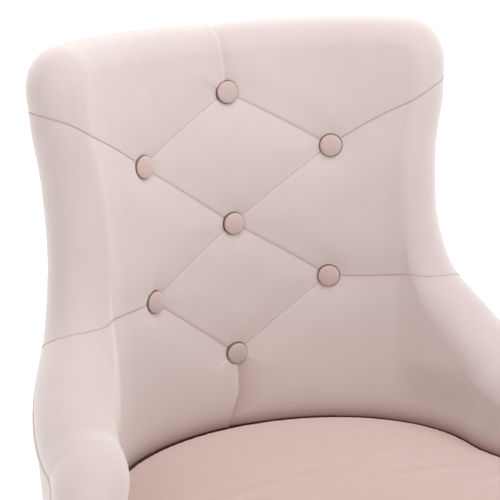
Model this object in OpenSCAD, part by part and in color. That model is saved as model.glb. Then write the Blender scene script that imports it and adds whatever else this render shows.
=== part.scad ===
// Hydraulic styling chair: a button-tufted velvet tub seat on a round pump base.
// Frame: origin on the floor on the pump's axis, +Z up, the sitter faces -Y. Millimetres.

/* [Seat and back] */
// Height of the seat line, where the cushion meets the back, with the pump fully down
seat_z = 490; // [470:5:540]
// Height of the top edge of the tub's core above the seat line
back_h = 455; // [430:5:480]
// Distance from the pump's axis back to the tub's core at the seat line
back_y = 242; // [232:1:250]
// Half width of the tub's core at the seat line
tub_half_w = 266; // [258:1:274]
// Half width that the tub's core would reach at the top edge
top_half_w = 328; // [315:1:340]
// Depth of the tub's quarter turn at the seat line
tub_depth = 209; // [200:1:215]
// Depth of the tub's quarter turn at the top edge
top_depth = 308; // [295:1:320]
// How far the top of the back leans behind the seat line
back_lean = 31; // [20:1:40]
// Half the padded thickness of the back
back_half_t = 36; // [34:1:37]
// Half the padded thickness of the arms
arm_half_t = 38; // [36:1:38]
// Height of the seat cushion from its webbing to its top
cushion_h = 92; // [80:1:100]
// Distance from the ends of the arms' core to the front of the cushion's outline
cushion_front = 215; // [195:5:225]

/* [Buttons] */
// Diameter of a covered button
button_d = 28; // [24:1:32]
// Height of a covered button
button_h = 6; // [5:0.5:8]

/* [Pump] */
// Diameter of the round base
base_d = 600; // [560:10:640]
// Travel of the hydraulic lift
lift_travel = 150; // [120:5:150]
// Diameter of the chromed ram
ram_d = 50; // [48:1:52]
// Length of the pump lever from its pin to the middle of the pedal
lever_l = 236; // [220:2:244]

/* [Footrest] */
// Distance between the two footrest tubes
footrest_gap = 220; // [180:10:240]
// Diameter of the footrest tubes
footrest_tube_d = 25; // [22:1:28]
// Height of the tubes' lower end above the floor with the pump down
footrest_z = 156; // [150:2:180]
// Tilt of the foot plate, its front edge up
foot_tilt = 8; // [4:1:14]

/* [Hidden] */
$fn = 72;

// ---- Tub surface -------------------------------------------------------------------------------
// The tub's core is a sheet. s runs round it: 0 at the middle of the back, 1 after the quarter
// turn, and on along the arm. z is the height above the seat line.
arm_unit = 200;      // length of arm for one step of s past the quarter turn
arm_splay = 108;     // outward splay of the arm over that step at the seat line
splay_rise = 89;     // extra splay at the height of the top edge
splay_ease = 0.25;   // stretch of s over which the splay starts
flare_w = 1.15;      // how late the width flares with height
flare_d = 1.11;      // how late the depth flares with height
lean_ease = 42;      // bow of the back's profile
full_h = 450;        // height over which the tub flares
bottom_z = -145;     // lower edge of the tub

function up_share(z) = z / full_h;
function flare(z, p) = pow(max(up_share(z), 0.0001), p);
function core_w(z) = tub_half_w + (top_half_w - tub_half_w) * flare(z, flare_w);
function core_d(z) = tub_depth + (top_depth - tub_depth) * flare(z, flare_d);
function lean_y(z) = let (u = max(up_share(z), 0)) (back_lean - lean_ease) * u + lean_ease * u * u;
function splay(z, e) =
    let (rise = min(max(up_share(z), -0.3), 0.4))
    (arm_splay + splay_rise * rise) * e * e / (e + splay_ease);
function core(s, z) =
    let (turn = 90 * min(abs(s), 1), e = max(abs(s) - 1, 0))
    [sign(s) * (core_w(z) * sin(turn) + splay(z, e)),
     back_y + lean_y(z) - core_d(z) * (1 - cos(turn)) - arm_unit * e,
     seat_z + z];
function unit(v) = v / norm(v);
// Normal of the sheet, towards the sitter
function inward(s, z) =
    let (h = 0.002, dz = 0.5)
    unit(cross(core(s + h, z) - core(s - h, z), core(s, z + dz) - core(s, z - dz)));

// ---- Rim of the tub: [s, z] from the middle of the top edge to the foot of the arm -------------
rim_keys = [
    [0, back_h], [0.18, back_h + 2], [0.42, back_h + 4], [0.482, back_h - 2], [0.494, 413],
    [0.486, 338], [0.52, 237], [0.63, 155], [0.91, 84], [1.15, 58], [1.33, 6], [1.45, -62], [1.5, -144]
];
last = len(rim_keys) - 1;
function key(i) =
    i < 0 ? [-rim_keys[-i][0], rim_keys[-i][1]] :
    i > last ? 2 * rim_keys[last] - rim_keys[last - 1] : rim_keys[i];
function through(a, b, c, d, f) =
    0.5 * (2 * b + (c - a) * f + (2 * a - 5 * b + 4 * c - d) * f * f + (3 * b - a - 3 * c + d) * f * f * f);
function rim_half(u) =
    let (i = min(floor(u), last - 1))
    through(key(i - 1), key(i), key(i + 1), key(i + 2), u - i);
// t runs from -1 at the left arm's foot to 1 at the right arm's foot
function rim(t) = let (p = rim_half(abs(t) * last)) [p[0] * (t < 0 ? -1 : 1), p[1]];
function rim_point(t) = let (p = rim(t)) core(p[0], p[1]);
function rim_inward(t) = let (p = rim(t)) inward(p[0], p[1]);
function rim_outward(t) =
    let (h = 0.004, a = max(t - h, -1), b = min(t + h, 1))
    unit(cross(rim_inward(t), rim_point(b) - rim_point(a)));
function smooth(x) = let (c = min(max(x, 0), 1)) c * c * (3 - 2 * c);
function half_t(t) = back_half_t + (arm_half_t - back_half_t) * smooth((abs(t) - 0.35) / 0.3);

// A rib of the tub runs for each t from the lower edge, v = 0, to the rim, v = 1. Past 1 it turns
// over the rim, and at 2 it has reached the outer side.
reach = 0.88;        // share of the rim's reach that the lower edge takes up
end_h = 2;           // height of the sheet that is left at the arm's foot
function foot(t) = [t * rim_keys[last][0] * reach, min(bottom_z, rim(t)[1] - end_h)];
function rib(t, v, margin) = foot(t) * (1 - v) + before_rim(t, margin) * v;
// [s, z] of the place on the sheet that lies a margin inside the rim, square to it
function before_rim(t, margin) =
    let (p = rim(t), h = 0.002, dz = 0.5, out = rim_outward(t),
         ds = (core(p[0] + h, p[1]) - core(p[0] - h, p[1])) / (2 * h),
         up = (core(p[0], p[1] + dz) - core(p[0], p[1] - dz)) / (2 * dz))
    p - margin * [(out * ds) / (ds * ds), (out * up) / (up * up)];
// Share of a rib below a height
function share_at(t, z) = min((z - foot(t)[1]) / (rim(t)[1] - foot(t)[1]), 0.75);
function layer_point(t, v, r, margin) =
    v <= 1
    ? let (p = rib(t, v, margin)) core(p[0], p[1]) + r * inward(p[0], p[1])
    : let (turn = 180 * (v - 1))
      rim_point(t) + r * (cos(turn) * rim_inward(t) + sin(turn) * rim_outward(t));

// Closed solid between two grids of points with the same rows and columns
module sheet_solid(front, back) {
    rows = len(front);
    cols = len(front[0]);
    n = rows * cols;
    function at(i, j) = i * cols + j;
    front_faces = [for (i = [0 : rows - 2], j = [0 : cols - 2]) each
        [[at(i, j), at(i + 1, j + 1), at(i, j + 1)], [at(i, j), at(i + 1, j), at(i + 1, j + 1)]]];
    back_faces = [for (f = front_faces) [f[0] + n, f[2] + n, f[1] + n]];
    border = concat(
        [for (i = [0 : rows - 2]) [at(i, 0), at(i + 1, 0)]],
        [for (j = [0 : cols - 2]) [at(rows - 1, j), at(rows - 1, j + 1)]],
        [for (i = [rows - 1 : -1 : 1]) [at(i, cols - 1), at(i - 1, cols - 1)]],
        [for (j = [cols - 1 : -1 : 1]) [at(0, j), at(0, j - 1)]]);
    walls = [for (e = border) each [[e[0], e[1] + n, e[1]], [e[0], e[0] + n, e[1] + n]]];
    polyhedron(points = [for (row = concat(front, back)) each row],
               faces = concat(front_faces, back_faces, walls));
}
rim_steps = 28;      // steps along each half of the rim in a layer
function spread(a, b, n) = [for (i = [0 : n]) a + (b - a) * i / n];
// Layer of the tub. levels(t), near(t) and far(t) give the v values and the two distances from the core.
module layer(levels, near, far, margin = 0) {
    ts = spread(-1, 1, 2 * rim_steps);
    sheet_solid(
        [for (t = ts) [for (v = levels(t)) layer_point(t, v, near(t), margin)]],
        [for (t = ts) [for (v = levels(t)) layer_point(t, v, far(t), margin)]]);
}

// ---- Seat outline ------------------------------------------------------------------------------
frame_half_t = 6;    // half the thickness of the moulded back frame
frame_gap = 0.6;     // room between one layer and the next
cover_t = 2;
side_end = 1.33;     // s where the seat's side stops, behind the arm's front roll
front_power = 0.62;  // roundness of the seat's front corners
front_y = core(1.43, bottom_z)[1];
front_half_w = core(1.43, bottom_z)[0];
board_inset = frame_half_t + 1.5;        // inset of the boards from the core beside the tub
cushion_inset = max(back_half_t, arm_half_t) + 2;
nose_inset = cushion_inset + 3;          // inset of the boards in front of the arms
function side_point(s, inset) = let (p = core(s, bottom_z) + inset * inward(s, bottom_z)) [p[0], p[1]];
function front_point(a, inset) =
    [(front_half_w - inset) * pow(cos(a), front_power),
     front_y - (cushion_front - inset) * pow(sin(a), front_power)];
function front_points(inset) = [for (a = [0 : 6 : 90]) front_point(a, inset)];
function both_sides(half) =
    concat(half, [for (i = [len(half) - 2 : -1 : 1]) [-half[i][0], half[i][1]]]);
function seat_outline(side, front) =
    both_sides(concat([for (i = [0 : 16]) side_point(side_end * i / 16, side)], front_points(front)));
module seat_slab(side, front, z0, z1) {
    translate([0, 0, z0]) linear_extrude(height = z1 - z0) polygon(seat_outline(side, front));
}
board_t = 18;
board_z = seat_z + bottom_z;             // underside of the bottom board
ring_z = board_z + board_t;
ring_w = 34;
crown_h = 14;                            // height of the cushion's top above the seat line
cushion_z = seat_z + crown_h - cushion_h;
webbing_t = 1.5;
webbing_z = cushion_z - 2 * webbing_t - 1;

// ---- Base and pump sizes -----------------------------------------------------------------------
foot_h = 8;                              // height of the rubber pad's rim under the base
pad_t = 1.5;                             // thickness of the rubber pad inside its rim
plate_t = 8;
boss_h = 8.5;
skin_t = 1.5;                            // thickness of the chromed covers
edge_r = base_d / 2;
boss_r = 112;
base_top = foot_h + plate_t + boss_h + skin_t;
flange_r = 110;
flange_t = 10;
base_bolt_pcd = 185;
base_bolt_r = 5;
housing_r = 52;
bore_z = base_top + 10;
bore_r = 44;
sleeve_r = 37;
piston_r = 30;
piston_h = 22;
piston_rise = 12;                        // height of the lowered piston above the cylinder's floor
sleeve_h = lift_travel + piston_h + piston_rise + 22;
gland_z = bore_z + sleeve_h;
gland_h = 26;
housing_top = gland_z + gland_h;
piston_z = bore_z + piston_rise;
race_t = 3;
ball_r = 3;
race_z = piston_z + piston_h;
ram_r = ram_d / 2;
ram_z = race_z + 2 * race_t + 2 * ball_r;
running = 0.04;                          // radial clearance of a running fit
hub_h = 32;
hub_screw_r = ram_r + 20;
mount_t = 8;
plate_z = board_z - mount_t;             // underside of the mounting plate
plate_bolt_gap = 150;

pin_y = 64;
pin_z = base_top + 66;
pin_r = 5;
nose_y = pin_y + 27;                     // the lever's nose presses the plunger here
nose_r = 5;
plunger_r = 6;
plunger_z = bore_z + 10;
plunger_top = pin_z - 8.6;
block_top = pin_z - 20;
shroud_z = pin_z + 14;
shroud_r = 62.5;

module ring(r_out, r_in, h) {
    difference() {
        cylinder(r = r_out, h = h);
        translate([0, 0, -1]) cylinder(r = r_in, h = h + 2);
    }
}
module around(count) {
    for (i = [0 : count - 1]) rotate([0, 0, 360 * i / count]) children();
}
module at_base_bolts() {
    rotate([0, 0, 45]) around(4) translate([base_bolt_pcd / 2, 0, 0]) children();
}
module at_plate_bolts() {
    rotate([0, 0, 45]) around(4) translate([plate_bolt_gap / sqrt(2), 0, 0]) children();
}
module at_hub_screws() {
    around(6) translate([hub_screw_r, 0, 0]) children();
}
module hexagon(across, h) {
    cylinder(r = across / sqrt(3), h = h, $fn = 6);
}
module x_cylinder(r, x0, x1) {
    translate([x0, 0, 0]) rotate([0, 90, 0]) cylinder(r = r, h = x1 - x0);
}
// Plate with rounded corners, centred on the origin, resting on z = 0
module rounded_plate(w, d, r, h) {
    translate([-w / 2 + r, -d / 2, 0]) cube([w - 2 * r, d, h]);
    translate([-w / 2, -d / 2 + r, 0]) cube([w, d - 2 * r, h]);
    for (x = [-1, 1], y = [-1, 1]) translate([x * (w / 2 - r), y * (d / 2 - r), 0]) cylinder(r = r, h = h);
}

// ---- Base and pump -----------------------------------------------------------------------------
module floor_pad() {
    color("#2a2a2c") {
        cylinder(r = edge_r - 13, h = pad_t);
        ring(edge_r - 13, edge_r - 32, foot_h);
    }
}
module base_plate() {
    color("#5c5f63") difference() {
        union() {
            translate([0, 0, foot_h]) cylinder(r = edge_r - 12, h = plate_t, $fn = 144);
            cylinder(r = boss_r, h = base_top - skin_t);
        }
        cylinder(r = boss_r + 1, h = 2 * foot_h, center = true);
        at_base_bolts() cylinder(r = base_bolt_r + 0.5, h = 2 * base_top);
    }
}
module base_cover() {
    plate_top = foot_h + plate_t;
    color("#d8dadd") difference() {
        rotate_extrude($fn = 144) polygon([
            [0, base_top - skin_t], [boss_r + 1, base_top - skin_t], [edge_r - 9, plate_top + 0.4],
            [edge_r - 4, plate_top - 2], [edge_r - skin_t, plate_top - 6], [edge_r - skin_t, foot_h - 4],
            [edge_r, foot_h - 4], [edge_r, plate_top - 5], [edge_r - 3, plate_top],
            [edge_r - 8, plate_top + skin_t + 0.6], [boss_r + 1.5, base_top], [0, base_top]]);
        at_base_bolts() cylinder(r = base_bolt_r + 0.5, h = 2 * base_top);
    }
}
module pump_casting() {
    color("#2f3033") difference() {
        union() {
            translate([0, 0, base_top]) cylinder(r = flange_r, h = flange_t);
            translate([0, 0, base_top]) cylinder(r = housing_r, h = housing_top - base_top);
            translate([-24, 20, base_top]) cube([48, 84, block_top - base_top]);
            for (x = [-22, 13]) translate([x, 40, block_top - 12]) cube([9, 36, 44]);
        }
        translate([0, 0, bore_z]) cylinder(r = bore_r, h = housing_top);
        at_base_bolts() cylinder(r = base_bolt_r + 0.5, h = 2 * base_top);
        translate([0, pin_y, pin_z]) x_cylinder(pin_r, -23, 23);
        translate([0, nose_y, bore_z]) cylinder(r = plunger_r + running, h = block_top);
        translate([0, -18, bore_z + 16]) x_cylinder(5, -housing_r - 2, -bore_r + 6);
    }
}
module base_bolts() {
    color("#b9bcc0") at_base_bolts() {
        translate([0, 0, foot_h - 6]) hexagon(17, 6);
        translate([0, 0, foot_h - 1]) cylinder(r = base_bolt_r, h = base_top + flange_t + 11 - foot_h);
    }
}
module base_nuts() {
    color("#c9ccd0") at_base_bolts() translate([0, 0, base_top + flange_t]) difference() {
        union() {
            cylinder(r = 10, h = 1.6);
            translate([0, 0, 1.6]) hexagon(17, 8);
        }
        translate([0, 0, -1]) cylinder(r = base_bolt_r, h = 12);
    }
}
module pump_shroud() {
    top = housing_top + 3;
    inner = shroud_r - skin_t - 1;
    color("#e3e5e8") rotate_extrude($fn = 96) polygon([
        [inner, shroud_z], [shroud_r, shroud_z], [shroud_r, top - 5], [shroud_r - 1.5, top - 1.5],
        [shroud_r - 5, top], [ram_r + 9, top], [ram_r + 9, top - 2.5], [inner - 3, top - 2.5],
        [inner, top - 6]]);
}
module cylinder_sleeve() {
    color("#8d9196") translate([0, 0, bore_z]) ring(sleeve_r, piston_r, sleeve_h);
}
module gland_nut() {
    color("#75787c") translate([0, 0, gland_z]) ring(bore_r, ram_r + 4, gland_h);
}
module gland_bush() {
    color("#b08d57") translate([0, 0, gland_z + 1]) ring(ram_r + 4, ram_r + running, gland_h - 8);
}
module wiper_seal() {
    color("#1d1d1f") translate([0, 0, gland_z + gland_h - 7]) ring(ram_r + 4, ram_r + running, 9);
}
module lever_pin() {
    color("#c4c7cb") translate([0, pin_y, pin_z]) x_cylinder(pin_r, -25, 25);
}
module oil_plug() {
    color("#c4c7cb") translate([0, -18, bore_z + 16]) difference() {
        union() {
            x_cylinder(5, -56, -44.5);
            x_cylinder(7.5, -56, -51.5);
        }
        x_cylinder(2.6, -57, -53, $fn = 6);
    }
}
module pump_plunger() {
    color("#c4c7cb") translate([0, nose_y, plunger_z]) cylinder(r = plunger_r, h = plunger_top - plunger_z);
}
module plunger_spring() {
    wire = 0.8;
    coil_r = 4.4;
    turns = 4;
    per_turn = 14;
    sides = 6;
    rise = plunger_z - 1 - bore_z - 2 * wire;
    n = turns * per_turn;
    function coil_ring(i) =
        let (a = 360 * i / per_turn, out = [cos(a), sin(a), 0],
             hub = coil_r * out + [0, nose_y, bore_z + wire + rise * i / n])
        [for (k = [0 : sides - 1])
            let (b = 360 * k / sides)
            hub + wire * (cos(b) * out + sin(b) * [0, 0, 1])];
    color("#8d9196") tube_solid([for (i = [0 : n]) coil_ring(i)]);
}
// Closed solid through a row of rings with the same number of points
module tube_solid(rings) {
    sides = len(rings[0]);
    n = len(rings);
    walls = [for (i = [0 : n - 2], k = [0 : sides - 1])
        let (a = sides * i + k, b = sides * i + (k + 1) % sides)
        each [[a, b, b + sides], [a, b + sides, a + sides]]];
    caps = [[for (k = [sides - 1 : -1 : 0]) k], [for (k = [0 : sides - 1]) sides * (n - 1) + k]];
    polyhedron(points = [for (r = rings) each r], faces = concat(caps, walls));
}
pedal_w = 66;
pedal_d = 72;
module at_pedal() {
    translate([0, pin_y + lever_l, pin_z]) children();
}
module pump_lever() {
    color("#d8dadd") difference() {
        union() {
            translate([0, pin_y, pin_z]) x_cylinder(11, -12, 12);
            translate([-12, pin_y, pin_z - 4]) cube([24, nose_y - pin_y + 4, 10]);
            translate([0, nose_y, pin_z - 3]) x_cylinder(nose_r, -12, 12);
            translate([0, nose_y, pin_z]) rotate([-90, 0, 0])
                cylinder(r = 6.5, h = lever_l - pedal_d / 2 - 23);
            at_pedal() translate([0, 0, -6]) rounded_plate(pedal_w, pedal_d, 10, 6);
        }
        translate([0, pin_y, pin_z]) x_cylinder(pin_r + running, -13, 13);
    }
}
module pedal_pad() {
    color("#232325") at_pedal() {
        translate([0, 4, 0]) rounded_plate(pedal_w, pedal_d - 8, 10, 5);
        for (y = [-22 : 10 : 28]) translate([0, y + 1, 5]) rounded_plate(pedal_w - 10, 5, 2.4, 2.5);
    }
}

// ---- Lift --------------------------------------------------------------------------------------
module seal_grooves(r_out) {
    for (z = [4, 14]) translate([0, 0, piston_z + z]) ring(r_out, piston_r - 3, 4);
}
module piston_head() {
    color("#8d9196") difference() {
        translate([0, 0, piston_z]) cylinder(r = piston_r - 0.08, h = piston_h);
        seal_grooves(piston_r + 1);
    }
}
module piston_seals() {
    color("#1d1d1f") seal_grooves(piston_r - 0.02);
}
module thrust_race_lower() {
    color("#b9bcc0") translate([0, 0, race_z]) ring(piston_r - 3, 14, race_t);
}
module thrust_balls() {
    color("#d8dadd") around(12)
        translate([ram_r - 4.5, 0, race_z + race_t + ball_r]) sphere(r = ball_r, $fn = 24);
}
module thrust_race_upper() {
    color("#b9bcc0") translate([0, 0, ram_z - race_t]) ring(ram_r - 0.5, 14, race_t);
}
module lift_ram() {
    color("#e3e5e8") translate([0, 0, ram_z]) cylinder(r = ram_r, h = plate_z - ram_z);
}

// ---- Seat mounting -----------------------------------------------------------------------------
module seat_hub() {
    color("#2f3033") difference() {
        union() {
            translate([0, 0, plate_z - hub_h]) cylinder(r = ram_r + 11, h = hub_h);
            translate([0, 0, plate_z - 8]) cylinder(r = ram_r + 30, h = 8);
        }
        translate([0, 0, plate_z - hub_h - 1]) cylinder(r = ram_r, h = hub_h + 2);
        at_hub_screws() translate([0, 0, plate_z - 9]) cylinder(r = 3, h = 10);
    }
}
module hub_screws() {
    color("#b9bcc0") at_hub_screws() difference() {
        union() {
            translate([0, 0, plate_z - 12]) cylinder(r = 5, h = 4);
            translate([0, 0, plate_z - 9]) cylinder(r = 3, h = 16);
        }
        translate([0, 0, plate_z - 13]) hexagon(4.5, 3);
    }
}
module mounting_plate() {
    color("#2f3033") difference() {
        union() {
            translate([0, 0, plate_z]) rounded_plate(190, 190, 12, mount_t);
            translate([0, -112, plate_z]) rounded_plate(footrest_gap + 80, 56, 12, mount_t);
        }
        at_plate_bolts() cylinder(r = 4.5, h = seat_z);
        at_hub_screws() cylinder(r = 3, h = seat_z);
        at_footrest_bolts() cylinder(r = 3, h = seat_z);
    }
}
module plate_bolts() {
    color("#b9bcc0") at_plate_bolts() {
        translate([0, 0, plate_z - 5.5]) hexagon(13, 5.5);
        translate([0, 0, plate_z - 1]) cylinder(r = 4, h = mount_t + board_t - 2);
    }
}
module t_nuts() {
    color("#9a9da1") at_plate_bolts() translate([0, 0, board_z + 4]) difference() {
        union() {
            cylinder(r = 5.5, h = board_t - 4);
            translate([0, 0, board_t - 4]) cylinder(r = 11, h = 1.5);
        }
        translate([0, 0, -1]) cylinder(r = 4, h = board_t + 2);
    }
}
module bottom_board() {
    color("#c9a878") difference() {
        seat_slab(board_inset, nose_inset, board_z, ring_z);
        at_plate_bolts() cylinder(r = 4.5, h = ring_z - 2);
        at_plate_bolts() translate([0, 0, board_z + 4]) cylinder(r = 5.5, h = board_t);
    }
}
module seat_ring() {
    color("#c9a878") difference() {
        seat_slab(board_inset, nose_inset, ring_z, webbing_z);
        seat_slab(board_inset + ring_w, nose_inset + ring_w, ring_z - 1, webbing_z + 1);
    }
}
module seat_webbing() {
    strip_w = 48;
    strip_gap = 64;
    color("#3a3a3a") intersection() {
        union() {
            for (y = [-2 : 2])
                translate([-300, y * strip_gap - strip_w / 2, webbing_z]) cube([600, strip_w, webbing_t]);
            for (x = [-2 : 2])
                translate([x * strip_gap - strip_w / 2, -300, webbing_z + webbing_t + 0.1])
                    cube([strip_w, 600, webbing_t]);
        }
        seat_slab(board_inset + 12, nose_inset + 12, webbing_z - 1, cushion_z);
    }
}
module seat_foam() {
    inset = cushion_inset + cover_t + 0.5;
    color("#efe6c8") seat_slab(inset, inset, cushion_z, cushion_z + cushion_h - cover_t - 0.5);
}
module seat_cover() {
    inset = cushion_inset + cover_t;
    color("#d6b5b0") difference() {
        seat_slab(cushion_inset, cushion_inset, cushion_z, cushion_z + cushion_h);
        seat_slab(inset, inset, cushion_z - 1, cushion_z + cushion_h - cover_t);
    }
}
// Upholstered strip round the front of the seat box, from one arm to the other
module front_border() {
    outer = both_arms(front_points(cushion_inset + 0.3));
    inner = both_arms(front_points(nose_inset - 0.3));
    color("#d9c4c0") translate([0, 0, board_z])
        linear_extrude(height = cushion_z - 0.5 - board_z)
            polygon(concat(outer, [for (i = [len(inner) - 1 : -1 : 0]) inner[i]]));
}
function both_arms(half) = concat(half, [for (i = [len(half) - 2 : -1 : 0]) [-half[i][0], half[i][1]]]);
module dust_cover() {
    edge = 14;
    color("#1d1d1f") difference() {
        seat_slab(board_inset + edge, nose_inset + edge, board_z - 0.9, board_z - 0.1);
        translate([0, 0, board_z - 2]) rounded_plate(204, 204, 12, 3);
        translate([0, -112, board_z - 2]) rounded_plate(footrest_gap + 94, 70, 12, 3);
    }
}

// ---- Tub ---------------------------------------------------------------------------------------
pad_z = cushion_z - seat_z + 3;          // the padding inside stops at the cushion's underside
washer_gap = 3;
seam_margin = 6;                         // distance from the rim to the outer cover's edge
function inside_levels(t, over) = concat(spread(share_at(t, pad_z), 1, 8), spread(1.2, 1.8, 3), over);
outside_levels = spread(0, 1, 8);
module back_frame() {
    color("#c9a878") layer(function (t) spread(0, 1, 9),
        function (t) frame_half_t,
        function (t) -frame_half_t);
}
module inside_foam() {
    color("#efe6c8") layer(function (t) inside_levels(t, []),
        function (t) half_t(t) - cover_t - frame_gap,
        function (t) frame_half_t + frame_gap);
}
module inside_cover() {
    color("#dcc8c4") layer(function (t) inside_levels(t, [1.88]),
        function (t) half_t(t),
        function (t) half_t(t) - cover_t);
}
module outside_foam() {
    color("#efe6c8") layer(function (t) outside_levels,
        function (t) -frame_half_t - washer_gap,
        function (t) cover_t + frame_gap - half_t(t),
        seam_margin);
}
module outside_cover() {
    color("#d9c4c0") layer(function (t) outside_levels,
        function (t) cover_t - half_t(t),
        function (t) -half_t(t),
        seam_margin);
}
module frame_screws() {
    color("#b9bcc0") for (s = [-1.2, -0.85, -0.5, -0.17, 0.17, 0.5, 0.85, 1.2])
        let (p = core(s, -105), n = inward(s, -105))
        translate(p - frame_half_t * n) rotate([0, 90, atan2(n[1], n[0])]) {
            cylinder(r = 2, h = 32, $fn = 16);
            cylinder(r = 4, h = 2.5, $fn = 16);
        }
}
module rim_welt() {
    welt_r = 3.2;
    welt_steps = 45;
    sides = 8;
    function welt_ring(t) =
        let (n = rim_inward(t), o = rim_outward(t), hub = layer_point(t, 2, half_t(t) - 1.5, 0))
        [for (k = [0 : sides - 1]) let (a = 360 * k / sides) hub + welt_r * (cos(a) * n + sin(a) * o)];
    color("#d2bab5") tube_solid([for (t = spread(1, -1, 2 * welt_steps)) welt_ring(t)]);
}
// Buttons at the corners of the diamonds: [s, z]
button_column = [[0, 412], [0, 257], [0, 96]];
button_pairs = [[0.285, 343], [0.293, 184]];
module at_buttons() {
    places = concat(button_column, button_pairs, [for (b = button_pairs) [-b[0], b[1]]]);
    for (b = places) let (n = inward(b[0], b[1]))
        translate(core(b[0], b[1])) rotate([0, acos(n[2]), atan2(n[1], n[0])]) children();
}
button_gap = 1.2;
module tufting_buttons() {
    edge_h = 2.5;
    dome_h = button_h - edge_h;
    dome_r = (pow(button_d / 2, 2) + pow(dome_h, 2)) / (2 * dome_h);
    color("#d2b5b0") at_buttons() translate([0, 0, back_half_t + button_gap]) {
        cylinder(r = button_d / 2, h = edge_h);
        intersection() {
            translate([0, 0, button_h - dome_r]) sphere(r = dome_r, $fn = 96);
            translate([0, 0, edge_h - 0.5]) cylinder(r = button_d / 2, h = button_h);
        }
    }
}
module button_ties() {
    color("#8d9196") at_buttons() {
        translate([0, 0, -frame_half_t])
            cylinder(r = 1.2, h = back_half_t + button_gap + frame_half_t, $fn = 16);
        translate([0, 0, -frame_half_t - 1.8]) cylinder(r = 9, h = 1.8, $fn = 24);
    }
}

// ---- Footrest ----------------------------------------------------------------------------------
// Each tube runs forward under the seat, turns down, and turns forward again under the foot plate.
// Its runs and bends are welded end to end.
foot_r = footrest_tube_d / 2;
clamp_t = 4;
tube_start_y = -88;
bend_y = -190;
bend_r = 50;
fall = 75;                               // slope of the falling part below the horizon
foot_run = 90;
weld = 0.02;                             // hairline between a run and a bend
tube_top_z = plate_z - foot_r - clamp_t - 0.5;
drop = tube_top_z - footrest_z;
fall_l = (drop - bend_r * (1 + cos(foot_tilt) - 2 * cos(fall))) / sin(fall);
bend_1 = [bend_y - bend_r * sin(fall), tube_top_z - bend_r * (1 - cos(fall))];
bend_2 = bend_1 - fall_l * [cos(fall), sin(fall)];
bend_2_hub = bend_2 + bend_r * [-sin(fall), cos(fall)];
foot_start = bend_2_hub - bend_r * [sin(foot_tilt), cos(foot_tilt)];
module at_tubes() {
    for (x = [-1, 1]) translate([x * footrest_gap / 2, 0, 0]) children();
}
module at_yz(p) {
    translate([0, p[0], p[1]]) children();
}
module run(p, slope, h) {
    at_yz(p) rotate([90 + slope, 0, 0]) translate([0, 0, weld]) cylinder(r = foot_r, h = h - 2 * weld);
}
module bend(hub, start, angle) {
    at_yz(hub) rotate([0, 90, 0]) rotate([0, 0, start])
        rotate_extrude(angle = angle) translate([bend_r, 0]) circle(r = foot_r);
}
module footrest_frame() {
    color("#e3e5e8") at_tubes() {
        run([tube_start_y, tube_top_z], 0, tube_start_y - bend_y, $fn = 32);
        bend([bend_y, tube_top_z - bend_r], 180, fall, $fn = 32);
        run(bend_1, fall, fall_l, $fn = 32);
        bend(bend_2_hub, -foot_tilt, fall + foot_tilt, $fn = 32);
        run(foot_start, -foot_tilt, foot_run, $fn = 32);
    }
}
module at_footrest_bolts() {
    for (x = [-1, 1], y = [-128, -96]) translate([x * (footrest_gap / 2 + 27), y, 0]) children();
}
module footrest_brackets() {
    width = 2 * (foot_r + clamp_t);
    color("#2f3033") difference() {
        for (x = [-1, 1]) translate([x * footrest_gap / 2, -112, 0]) {
            translate([-width / 2, -22, tube_top_z - foot_r - clamp_t])
                cube([width, 44, plate_z - tube_top_z + foot_r + clamp_t]);
            translate([x * 18, 0, plate_z - 5]) rounded_plate(38, 44, 5, 5);
        }
        at_tubes() translate([0, 0, tube_top_z]) rotate([90, 0, 0]) cylinder(r = foot_r, h = 200);
        at_footrest_bolts() cylinder(r = 3, h = seat_z);
    }
}
module footrest_bolts() {
    color("#b9bcc0") at_footrest_bolts() {
        translate([0, 0, plate_z - 9]) hexagon(10, 4);
        translate([0, 0, plate_z - 6]) cylinder(r = 3, h = 13);
    }
}
plate_w = 330;
plate_d = 94;
foot_plate_t = 4;
module at_foot_plate() {
    at_yz(foot_start) rotate([-foot_tilt, 0, 0])
        translate([0, -plate_d / 2 - 1, foot_r + 0.1]) children();
}
module at_foot_screws() {
    for (x = [-1, 1], y = [-32, 32]) at_foot_plate() translate([x * footrest_gap / 2, y, 0]) children();
}
module foot_plate() {
    color("#d8dadd") difference() {
        at_foot_plate() {
            rounded_plate(plate_w, plate_d, 14, foot_plate_t);
            translate([-plate_w / 2 + 14, plate_d / 2 - 3, 0]) cube([plate_w - 28, 3, 12]);
        }
        at_foot_screws() translate([0, 0, -1]) cylinder(r = 2.5, h = foot_plate_t + 2);
    }
}
module foot_plate_treads() {
    color("#232325") at_foot_plate() for (y = [-20 : 10 : 20])
        translate([0, y, foot_plate_t]) rounded_plate(plate_w - 40, 6, 2.9, 3);
}
module foot_plate_screws() {
    color("#b9bcc0") at_foot_screws() {
        translate([0, 0, -8]) cylinder(r = 2.5, h = foot_plate_t + 8);
        translate([0, 0, foot_plate_t]) cylinder(r = 5, h = 2.2);
    }
}
module tube_caps() {
    color("#232325") at_tubes() {
        at_yz(foot_start) rotate([90 - foot_tilt, 0, 0]) translate([0, 0, foot_run]) cap();
        at_yz([tube_start_y, tube_top_z]) rotate([-90, 0, 0]) cap();
    }
}
module cap() {
    cylinder(r = foot_r, h = 2.5);
    translate([0, 0, 2.5]) cylinder(r1 = foot_r, r2 = foot_r - 2, h = 2);
}

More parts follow.
